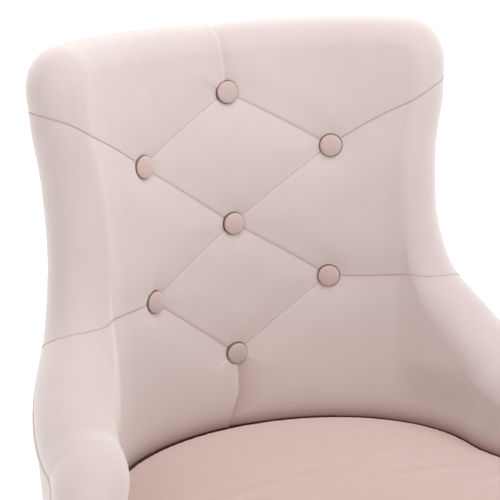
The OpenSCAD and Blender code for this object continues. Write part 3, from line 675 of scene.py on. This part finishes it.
def swell(obj, pressure, cap, pinned):
    """Lets the mesh swell as cloth under pressure, and holds every point within a cap of its start."""
    frames = 20
    start = mesh_points(obj.data)
    group = obj.vertex_groups.new(name="pinned")
    group.add([int(i) for i in np.flatnonzero(pinned)], 1.0, "REPLACE")
    cloth = obj.modifiers.new("cloth", "CLOTH")
    settings = cloth.settings
    settings.quality = 6
    settings.mass = 0.3
    settings.tension_stiffness = settings.compression_stiffness = 12
    settings.shear_stiffness = 6
    settings.bending_stiffness = 1.5
    settings.use_pressure = True
    settings.uniform_pressure_force = pressure
    settings.effector_weights.gravity = 0
    settings.vertex_group_mass = "pinned"
    cloth.point_cache.frame_start, cloth.point_cache.frame_end = 1, frames
    scene = bpy.context.scene
    for frame_number in range(1, frames + 1):
        scene.frame_set(frame_number)
    moved = mesh_points(obj.evaluated_get(bpy.context.evaluated_depsgraph_get()).to_mesh())
    obj.modifiers.remove(cloth)
    scene.frame_set(1)
    shift = moved - start
    length = np.linalg.norm(shift, axis=-1, keepdims=True)
    set_points(obj, start + shift * np.minimum(1, cap / np.maximum(length, 1e-9)))


def keep_inside(points, inset):
    """Moves points outside the seat's outline back onto it, and holds all above its underside."""
    points, band = points.copy(), 0.006
    for low in np.arange(CUSHION_LOW - 0.02, CUSHION_TOP + 0.03, band):
        at = np.flatnonzero((points[:, 2] >= low) & (points[:, 2] < low + band))
        if not len(at):
            continue
        loop = seat_outline(inset, low + band / 2, 360)
        p = points[at, :2]
        nearest = ((p[:, None] - loop[None]) ** 2).sum(-1).argmin(-1)
        ahead = loop[(nearest + 1) % len(loop)] - loop[nearest - 1]
        normal = unit(np.stack([ahead[:, 1], -ahead[:, 0]], -1))
        out = ((p - loop[nearest]) * normal).sum(-1)
        middle = loop.mean(0)
        sign = np.sign(((loop[nearest] - middle) * normal).sum(-1))
        over = np.maximum(out * sign, 0)
        points[at, :2] = p - (over * sign)[:, None] * normal
    points[:, 2] = np.maximum(points[:, 2], CUSHION_LOW)
    return points


def edge_fold(points):
    """Painted shade on each point of the cushion, by its distance from the line where it meets the tub."""
    outline = seat_outline(CUSHION_GAP, CUSHION_EDGE, 2400)
    beside_tub = outline[outline[:, 1] > FRONT[1]]
    tree = kdtree.KDTree(len(beside_tub))
    for k, (x, y) in enumerate(beside_tub):
        tree.insert((x, y, 0), k)
    tree.balance()
    distance = np.array([tree.find((x, y, 0))[2] for x, y in points[:, :2]])
    crevice = smooth((0.0012 - distance) / 0.0010)
    shadow = 0.12 * np.exp(-distance / 0.010)
    return np.maximum(crevice, shadow)


def build_cushion():
    """Seat cushion: swollen as cloth over its foam, and held inside the tub."""
    cushion = cushion_blank()
    remesh(cushion, voxel=0.004)
    points = mesh_points(cushion.data)
    beside_tub = (points[:, 1] > FRONT[1]) & (points[:, 2] < CUSHION_EDGE - 0.0005)
    below = points[:, 2] < CUSHION_LOW + 0.01
    swell(cushion, pressure=4.0, cap=0.008, pinned=beside_tub | below)
    subdivide(cushion)
    points = keep_inside(mesh_points(cushion.data), CUSHION_GAP - 0.0008)
    set_points(cushion, points)
    # Painted shade where the cushion meets the tub
    point_attribute(cushion, "fold", edge_fold(points))
    shade_smooth(cushion.data)
    return cushion


def open_front(inset, z):
    """The front stretch of the seat's outline, from one arm to the other."""
    half = resample(front_curve(inset), count=120)
    return with_z(np.vstack([half, half[-2::-1] * (-1, 1)]), z)


def build_front_border():
    """Padded velvet strip round the front of the seat box, turned under at its lower edge."""
    turned_under = [(0.010, 0.0002), (0.004, -0.0012), (0.0012, 0.0006)]
    rows = [open_front(CUSHION_GAP + inset, BOARD_Z + z) for inset, z in turned_under]
    height, bulge = CUSHION_LOW - BOARD_Z - 0.003, 0.0035
    for f in np.linspace(0.06, 1, 14):
        rows.append(open_front(CUSHION_GAP - bulge * math.sin(math.pi * f) ** 0.7, BOARD_Z + height * f))
    rows.append(open_front(CUSHION_GAP + 0.006, CUSHION_LOW - 0.001))
    p = np.array(rows)
    return mesh_object("front_border_velvet", p.reshape(-1, 3), grid_faces(*p.shape[:2])[:, ::-1])


def build_border_piping():
    """Covered cord along the border's upper edge."""
    path = open_front(CUSHION_GAP - 0.001, CUSHION_LOW - 0.0015)
    return mesh_object("front_border_piping", *sweep(path, np.broadcast_to(UP, path.shape), CORD_R, 12))


def ray_exit(origin, direction, half_size, centre):
    """Distance along rays from a point inside a rectangle to its sides."""
    reach = (half_size - np.sign(direction) * (origin - centre)) / np.maximum(np.abs(direction), 1e-9)
    return reach.min(-1)


def build_dust_cover():
    """Black cloth stapled under the seat box, cut out round the mounting plate."""
    outer = seat_outline(0.0215, SEAT_Z + BOTTOM, 240, front_inset=0.057)
    plate_low, plate_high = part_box("mounting_plate")
    middle = np.array([0, plate_low.y + 0.050])
    direction = unit(outer - middle)
    square = ray_exit(middle, direction, np.array([0.102, 0.102]), np.zeros(2))
    bar_size, bar_centre = np.array([plate_high.x + 0.007, 0.035]), np.array([0, plate_low.y + 0.028])
    bar = ray_exit(middle, direction, bar_size, bar_centre)
    hole = middle + direction * np.maximum(square, bar)[:, None]
    rows = []
    for f in np.linspace(0, 1, 16):
        ring = hole + (outer - hole) * f
        loose = math.sin(math.pi * f)
        ripple = 0.35 * MM * np.sin(230 * ring[:, 0]) * np.sin(190 * ring[:, 1])
        rows.append(with_z(ring, BOARD_Z - 0.0008 + loose * (ripple - 0.0016)))
    p = np.array(rows)
    obj = mesh_object("dust_cover_cloth", p.reshape(-1, 3), grid_faces(*p.shape[:2], wrap=True))
    thick = obj.modifiers.new("thickness", "SOLIDIFY")
    thick.thickness = 0.0006
    apply_modifier(obj, thick)
    return obj


# ---- Materials ----
class Nodes:
    """Short way to write a material's node tree. Its patterns lie in the object's own space, in metres."""

    def __init__(self, name):
        self.material = bpy.data.materials.new(name)
        self.material.use_nodes = True
        self.tree = self.material.node_tree
        self.shader = self.tree.nodes["Principled BSDF"]
        self.place = self.add("ShaderNodeTexCoord").outputs["Object"]

    def add(self, kind, **inputs):
        node = self.tree.nodes.new(kind)
        for key, value in inputs.items():
            self.feed(node.inputs[key], value)
        return node

    def feed(self, socket, value):
        """Links a socket to another, or gives it a number or a colour."""
        if isinstance(value, bpy.types.NodeSocket):
            self.tree.links.new(value, socket)
        else:
            socket.default_value = value

    def shade(self, **inputs):
        for key, value in inputs.items():
            self.feed(self.shader.inputs[key.replace("_", " ")], value)

    def math(self, operation, a, b=0.5):
        node = self.add("ShaderNodeMath")
        node.operation = operation
        for socket, value in zip(node.inputs, (a, b)):
            self.feed(socket, value)
        return node.outputs[0]

    def ramp(self, value, low, high, out_low=0.0, out_high=1.0):
        node = self.add("ShaderNodeMapRange")
        node.interpolation_type = "SMOOTHSTEP"
        for socket, number in zip(node.inputs, (value, low, high, out_low, out_high)):
            self.feed(socket, number)
        return node.outputs[0]

    def noise(self, scale, detail, stretch=(1, 1, 1)):
        place = self.add("ShaderNodeMapping", Vector=self.place, Scale=stretch).outputs[0]
        return self.add("ShaderNodeTexNoise", Vector=place, Scale=scale, Detail=detail).outputs["Fac"]

    def wave(self, scale, direction, distortion):
        node = self.add("ShaderNodeTexWave", Vector=self.place, Scale=scale, Distortion=distortion)
        node.bands_direction = direction
        return node.outputs["Fac"]

    def mix(self, share, a, b):
        node = self.add("ShaderNodeMix")
        node.data_type = "RGBA"
        for socket, value in ((node.inputs[0], share), (node.inputs[6], a), (node.inputs[7], b)):
            self.feed(socket, value)
        return node.outputs[2]

    def bump(self, height, distance, strength, normal=None):
        node = self.add("ShaderNodeBump", Height=height, Strength=strength, Distance=distance)
        if normal is not None:
            self.feed(node.inputs["Normal"], normal)
        return node.outputs[0]

    def attribute(self, name):
        node = self.add("ShaderNodeAttribute")
        node.attribute_name = name
        return node.outputs["Fac"]

    def occlusion(self, distance):
        node = self.add("ShaderNodeAmbientOcclusion", Distance=distance)
        node.samples = 8
        return node.outputs["AO"]

    def facing(self, blend):
        return self.add("ShaderNodeLayerWeight", Blend=blend).outputs["Facing"]

    def distance_to(self, points):
        """Distance from the nearest of some places."""
        nearest = None
        for p in points:
            node = self.add("ShaderNodeVectorMath")
            node.operation = "DISTANCE"
            self.feed(node.inputs[0], self.place)
            node.inputs[1].default_value = tuple(p)
            gap = node.outputs["Value"]
            nearest = gap if nearest is None else self.math("MINIMUM", nearest, gap)
        return nearest


def rgb(r, g, b):
    """Linear colour from 0-255 sRGB values."""
    def linear(c):
        c = c / 255
        return c / 12.92 if c <= 0.04045 else ((c + 0.055) / 1.055) ** 2.4
    return (linear(r), linear(g), linear(b), 1)


CREVICE_SHADE = rgb(70, 34, 28)           # painted shade of velvet in a crease; blended with the face colour it also darkens the pile's grain and streaks
DEEP = rgb(142, 92, 82)             # velvet shaded beside a fold
BOUNCE = rgb(232, 214, 209)         # velvet lit by the velvet across from it


def velvet(name, face, edge, tufted=False):
    """Short-pile velvet: painted sheen where seen edge-on, clouded by the lie of its pile, painted shade
    in its folds and creases, and when tufted painted bounce light inside the tub.
    """
    m = Nodes(name)
    clouds = m.noise(5.5, 3)
    streaks = m.noise(60, 2, stretch=(1, 1, 0.12))
    pile = m.noise(1500, 2)
    # Painted sheen: the velvet takes its paler edge colour where it is seen edge-on
    colour = m.mix(m.ramp(m.facing(0.42), 0.05, 0.9), face, edge)
    colour = m.mix(m.ramp(clouds, 0.35, 0.68, 0.0, 0.10), colour, edge)
    colour = m.mix(m.ramp(streaks, 0.4, 0.7, 0.0, 0.025), colour, m.mix(0.5, face, CREVICE_SHADE))
    colour = m.mix(m.ramp(pile, 0.3, 0.7, 0.0, 0.10), colour, m.mix(0.6, face, CREVICE_SHADE))
    # Painted shade in narrow crevices, where ambient occlusion finds little open space
    colour = m.mix(m.ramp(m.occlusion(0.012), 0.55, 0.20, 0.0, 0.75), colour, CREVICE_SHADE)
    if tufted:
        # Painted bounce light: paler where the tub closes round the velvet
        colour = m.mix(m.ramp(m.occlusion(0.300), 0.85, 0.35, 0.0, 0.27), colour, BOUNCE)
    # Painted shade from the fold values: the line where the covers meet the cushion, and one side of each
    # pleat
    fold = m.attribute("fold")
    colour = m.mix(m.ramp(fold, 0.0, 0.6, 0.0, 0.75), colour, DEEP)
    colour = m.mix(m.ramp(fold, 0.5, 1.0), colour, CREVICE_SHADE)
    if tufted:
        # Painted shade in a thin line along the crease of each seam
        across = m.ramp(m.math("ABSOLUTE", m.attribute("seam_side")), 0.0002, 0.0011, 0.32, 0.0)
        colour = m.mix(m.math("MULTIPLY", across, m.attribute("seam")), colour, CREVICE_SHADE)
        # Painted shade in the gap round each button
        ring = m.distance_to(BUTTON_SEATS)
        colour = m.mix(m.ramp(ring, BUTTON_R + 0.0014, BUTTON_R + 0.0002, 0.0, 0.75), colour, CREVICE_SHADE)
    m.shade(Base_Color=colour, Roughness=m.ramp(streaks, 0.3, 0.7, 0.78, 0.92), Sheen_Weight=0.55,
            Sheen_Roughness=0.42, Sheen_Tint=edge, Specular_IOR_Level=0.12)
    m.shade(Normal=m.bump(pile, 0.0004, 0.35, m.bump(streaks, 0.0015, 0.08)))
    return m.material


def button_velvet():
    """Velvet pulled tight over a button, with painted shade round its turned edge."""
    m = Nodes("covered_button_velvet")
    face, edge = rgb(186, 164, 159), rgb(208, 192, 188)
    pile = m.noise(1500, 2)
    # Painted sheen: paler where the velvet is seen edge-on
    colour = m.mix(m.ramp(m.facing(0.42), 0.05, 0.9), face, edge)
    colour = m.mix(m.ramp(pile, 0.3, 0.7, 0.0, 0.14), colour, CREVICE_SHADE)
    radius = m.distance_to(BUTTON_SEATS)
    # Painted shade where the velvet turns under the button's edge
    colour = m.mix(m.ramp(radius, BUTTON_R - 0.0009, BUTTON_R + 0.0001, 0.0, 0.75), colour, CREVICE_SHADE)
    m.shade(Base_Color=colour, Roughness=0.8, Sheen_Weight=0.5, Sheen_Roughness=0.45, Sheen_Tint=edge,
            Specular_IOR_Level=0.15)
    m.shade(Normal=m.bump(pile, 0.0004, 0.3))
    return m.material


def polished(name, colour, rough):
    """Plated or polished metal with faint wiping marks and duller patches."""
    m = Nodes(name)
    wiped = m.noise(35, 4, stretch=(1, 1, 6))
    patches = m.noise(9, 3)
    dull = m.mix(0.5, colour, rgb(120, 122, 126))
    m.shade(Base_Color=m.mix(m.ramp(patches, 0.5, 0.75, 0.0, 0.35), colour, dull), Metallic=1.0,
            Roughness=m.ramp(wiped, 0.35, 0.7, rough, rough + 0.06))
    m.shade(Normal=m.bump(wiped, 0.0002, 0.12))
    return m.material


def machined(name, colour, rough):
    """Turned or zinc-plated steel with fine tool marks."""
    m = Nodes(name)
    marks = m.wave(420, "Z", 1.2)
    blotches = m.noise(140, 3)
    pale = m.mix(0.35, colour, rgb(235, 236, 238))
    m.shade(Base_Color=m.mix(m.ramp(blotches, 0.35, 0.65), colour, pale), Metallic=1.0,
            Roughness=m.ramp(blotches, 0.3, 0.7, rough, rough + 0.14))
    m.shade(Normal=m.bump(marks, 0.0002, 0.3))
    return m.material


def enamelled_casting():
    """Black enamel over cast iron: a soft orange peel with paler specks."""
    m = Nodes("black_enamel")
    peel = m.noise(260, 3)
    specks = m.noise(900, 2)
    colour = m.mix(m.ramp(specks, 0.55, 0.75, 0.0, 0.5), rgb(34, 34, 36), rgb(62, 62, 64))
    m.shade(Base_Color=colour, Roughness=m.ramp(peel, 0.3, 0.7, 0.36, 0.52), Specular_IOR_Level=0.5)
    m.shade(Normal=m.bump(peel, 0.0008, 0.35))
    return m.material


def rubber():
    """Moulded rubber, a little dusty."""
    m = Nodes("black_rubber")
    grain = m.noise(700, 3)
    dust = m.noise(24, 4)
    colour = m.mix(m.ramp(dust, 0.45, 0.75, 0.0, 0.4), rgb(30, 30, 31), rgb(72, 70, 69))
    m.shade(Base_Color=colour, Roughness=m.ramp(grain, 0.3, 0.7, 0.62, 0.82), Specular_IOR_Level=0.3)
    m.shade(Normal=m.bump(grain, 0.0004, 0.5))
    return m.material


def plywood():
    """Birch plywood, its plies showing along Z."""
    m = Nodes("birch_plywood")
    plies = m.wave(150, "Z", 0.6)
    grain = m.noise(38, 5, stretch=(1, 9, 1))
    colour = m.mix(m.ramp(grain, 0.3, 0.7), rgb(196, 163, 118), rgb(224, 198, 158))
    colour = m.mix(m.ramp(plies, 0.55, 0.8, 0.0, 0.35), colour, rgb(140, 102, 66))
    m.shade(Base_Color=colour, Roughness=0.68, Normal=m.bump(grain, 0.0006, 0.4))
    return m.material


def woven(name, dark, light, scale):
    """Plain woven cloth or strap: warp and weft threads crossing."""
    m = Nodes(name)
    warp, weft = m.wave(scale, "X", 0.4), m.wave(scale, "Y", 0.4)
    threads = m.math("MAXIMUM", warp, weft)
    fuzz = m.noise(500, 3)
    colour = m.mix(m.ramp(threads, 0.2, 0.9), dark, light)
    colour = m.mix(m.ramp(fuzz, 0.4, 0.7, 0.0, 0.3), colour, dark)
    m.shade(Base_Color=colour, Roughness=0.9, Sheen_Weight=0.2, Normal=m.bump(threads, 0.0006, 0.6))
    return m.material


def thread():
    """Twisted thread and twine."""
    m = Nodes("stitching_thread")
    ply = m.wave(900, "DIAGONAL", 0.2)
    colour = m.mix(m.ramp(ply, 0.3, 0.8), rgb(150, 112, 106), rgb(196, 164, 158))
    m.shade(Base_Color=colour, Roughness=0.7, Sheen_Weight=0.2, Normal=m.bump(ply, 0.0002, 0.4))
    return m.material


def bronze():
    """Porous bearing bronze."""
    m = Nodes("sintered_bronze")
    pores = m.noise(600, 3)
    colour = m.mix(m.ramp(pores, 0.35, 0.7), rgb(150, 108, 62), rgb(196, 152, 96))
    m.shade(Base_Color=colour, Metallic=1.0, Roughness=m.ramp(pores, 0.3, 0.7, 0.38, 0.55),
            Normal=m.bump(pores, 0.0003, 0.4))
    return m.material


def dress_cad_nodes():
    """Gives each CAD node that stays in sight its material."""
    chrome = polished("chrome_plate", rgb(226, 228, 231), 0.09)
    satin = machined("turned_steel", rgb(164, 167, 172), 0.34)
    zinc = machined("zinc_plated_steel", rgb(196, 199, 204), 0.3)
    webbing = woven("elastic_webbing", rgb(38, 38, 40), rgb(84, 82, 80), 160)
    looks = [
        (chrome, "base_cover pump_shroud pump_lever thrust_balls lift_ram footrest_frame foot_plate"),
        (satin, "base_plate cylinder_sleeve gland_nut pump_plunger piston_head"),
        (zinc, "base_bolts base_nuts lever_pin oil_plug plunger_spring thrust_race_lower"),
        (zinc, "thrust_race_upper hub_screws plate_bolts t_nuts frame_screws footrest_bolts"),
        (zinc, "foot_plate_screws"),
        (enamelled_casting(), "pump_casting seat_hub mounting_plate footrest_brackets"),
        (rubber(), "floor_pad wiper_seal pedal_pad piston_seals foot_plate_treads tube_caps"),
        (plywood(), "bottom_board seat_ring back_frame"),
        (bronze(), "gland_bush"),
        (webbing, "seat_webbing")]
    for material, names in looks:
        for name in names.split():
            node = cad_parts[name]
            node.data.materials.clear()
            node.data.materials.append(material)


# ---- Build ----
inside_velvet = velvet("blush_velvet", rgb(191, 176, 173), rgb(216, 207, 204), tufted=True)
# The seat's copy of the velvet is darker and redder than the back's: painted shade for how its pile takes
# the light
seat_velvet = velvet("blush_velvet_seat", rgb(176, 148, 141), rgb(199, 181, 176))
outside_velvet = velvet("blush_velvet_outside", rgb(190, 183, 180), rgb(208, 203, 200))
piping_velvet = velvet("blush_velvet_piping", rgb(194, 180, 176), rgb(216, 207, 204))
sewing_thread = thread()

dress_cad_nodes()
inside_cover = build_inside_cover()
finish_piece(inside_cover, inside_velvet, "velvet", "inside_cover", "inside_foam")
finish_piece(build_outside_cover(), outside_velvet, "velvet_outside", "outside_cover", "outside_foam")
finish_piece(build_welt(), piping_velvet, "piping", "rim_welt")
finish_piece(build_buttons(), button_velvet(), "covered_button", "tufting_buttons")
finish_piece(build_ties(), sewing_thread, "piping", "button_ties")
finish_piece(build_stitches(inside_cover), sewing_thread, "piping")
finish_piece(build_cushion(), seat_velvet, "velvet_seat", "seat_cover", "seat_foam")
finish_piece(build_front_border(), outside_velvet, "velvet_outside", "front_border")
finish_piece(build_border_piping(), piping_velvet, "piping")
finish_piece(build_dust_cover(), woven("dust_cloth", rgb(22, 22, 23), rgb(52, 51, 51), 420), "dust_cloth",
             "dust_cover")


# ---- Stage: floor, lights and camera ----
FLOOR_GLOW = 0.42


def build_floor():
    """Pale floor with a little light of its own, which polished metal doesn't see."""
    half = 14
    corners = [(-half, -half, 0), (half, -half, 0), (half, half, 0), (-half, half, 0)]
    floor = mesh_object("studio_floor", corners, [(0, 1, 2, 3)], smooth_shade=False)
    m = Nodes("studio_floor")
    glossy = m.add("ShaderNodeLightPath").outputs["Is Glossy Ray"]
    m.shade(Base_Color=(0.93, 0.93, 0.93, 1), Roughness=0.9, Specular_IOR_Level=0.1,
            Emission_Color=(1, 1, 1, 1), Emission_Strength=m.ramp(glossy, 0, 1, FLOOR_GLOW, 0))
    floor.data.materials.append(m.material)


def area_light(name, place, target, size, power):
    light = bpy.data.lights.new(name, "AREA")
    light.shape = "DISK"
    light.size = size
    light.energy = power
    obj = bpy.data.objects.new(name, light)
    obj.location = place
    obj.rotation_euler = (Vector(target) - Vector(place)).to_track_quat("-Z", "Y").to_euler()
    bpy.context.scene.collection.objects.link(obj)


def build_world(strength):
    """White surroundings, which only reflections see as grey on one side, so that chrome reads."""
    world = bpy.data.worlds.new("studio")
    world.use_nodes = True
    nodes, links = world.node_tree.nodes, world.node_tree.links
    split = nodes.new("ShaderNodeSeparateXYZ")
    links.new(nodes.new("ShaderNodeTexCoord").outputs["Generated"], split.inputs[0])
    walls = nodes.new("ShaderNodeMapRange")
    links.new(split.outputs["X"], walls.inputs[0])
    for socket, number in zip(walls.inputs[1:5], (-0.9, 0.9, 0.06, 0.50)):
        socket.default_value = number
    rays = nodes.new("ShaderNodeLightPath").outputs
    reflected, seen = (nodes.new("ShaderNodeMix") for _ in range(2))
    for mix, ray in ((reflected, "Is Glossy Ray"), (seen, "Is Camera Ray")):
        mix.data_type = "RGBA"
        links.new(rays[ray], mix.inputs[0])
    reflected.inputs[6].default_value = (strength, strength, strength, 1)
    links.new(walls.outputs[0], reflected.inputs[7])
    links.new(reflected.outputs[2], seen.inputs[6])
    seen.inputs[7].default_value = (1, 1, 1, 1)
    links.new(seen.outputs[2], nodes["Background"].inputs["Color"])
    bpy.context.scene.world = world


AZIMUTH, ELEVATION, DISTANCE, LENS = 25.555, 17.221, 2.0219, 120.7
TARGET = Vector((0, 0.215, 0.710))
AIM_SIDE, AIM_UP = 0.0183, 0.0055       # how far beside and above the target the camera aims


def build_camera():
    a, e = math.radians(AZIMUTH), math.radians(ELEVATION)
    back = Vector((-math.sin(a) * math.cos(e), -math.cos(a) * math.cos(e), math.sin(e)))
    right = Vector((math.cos(a), -math.sin(a), 0))
    up = back.cross(right)
    data = bpy.data.cameras.new("camera")
    data.lens = LENS
    camera = bpy.data.objects.new("camera", data)
    camera.location = TARGET + back * DISTANCE
    aim = TARGET + right * AIM_SIDE + up * AIM_UP
    camera.rotation_euler = (aim - camera.location).to_track_quat("-Z", "Y").to_euler()
    bpy.context.scene.collection.objects.link(camera)
    bpy.context.scene.camera = camera


build_floor()
build_world(0.66)
area_light("key", (0.2, -0.6, 3.0), (0, 0.1, 0.7), 1.8, 46)
area_light("left_fill", (-2.2, -1.6, 1.5), (0, 0.1, 0.6), 1.8, 12)
area_light("right_fill", (1.3, -2.5, 1.0), (0, 0.1, 0.6), 1.8, 8)
area_light("back", (-0.6, 2.2, 2.4), (0, 0.1, 0.6), 1.6, 16)
build_camera()
bpy.context.scene.view_settings.view_transform = "Standard"
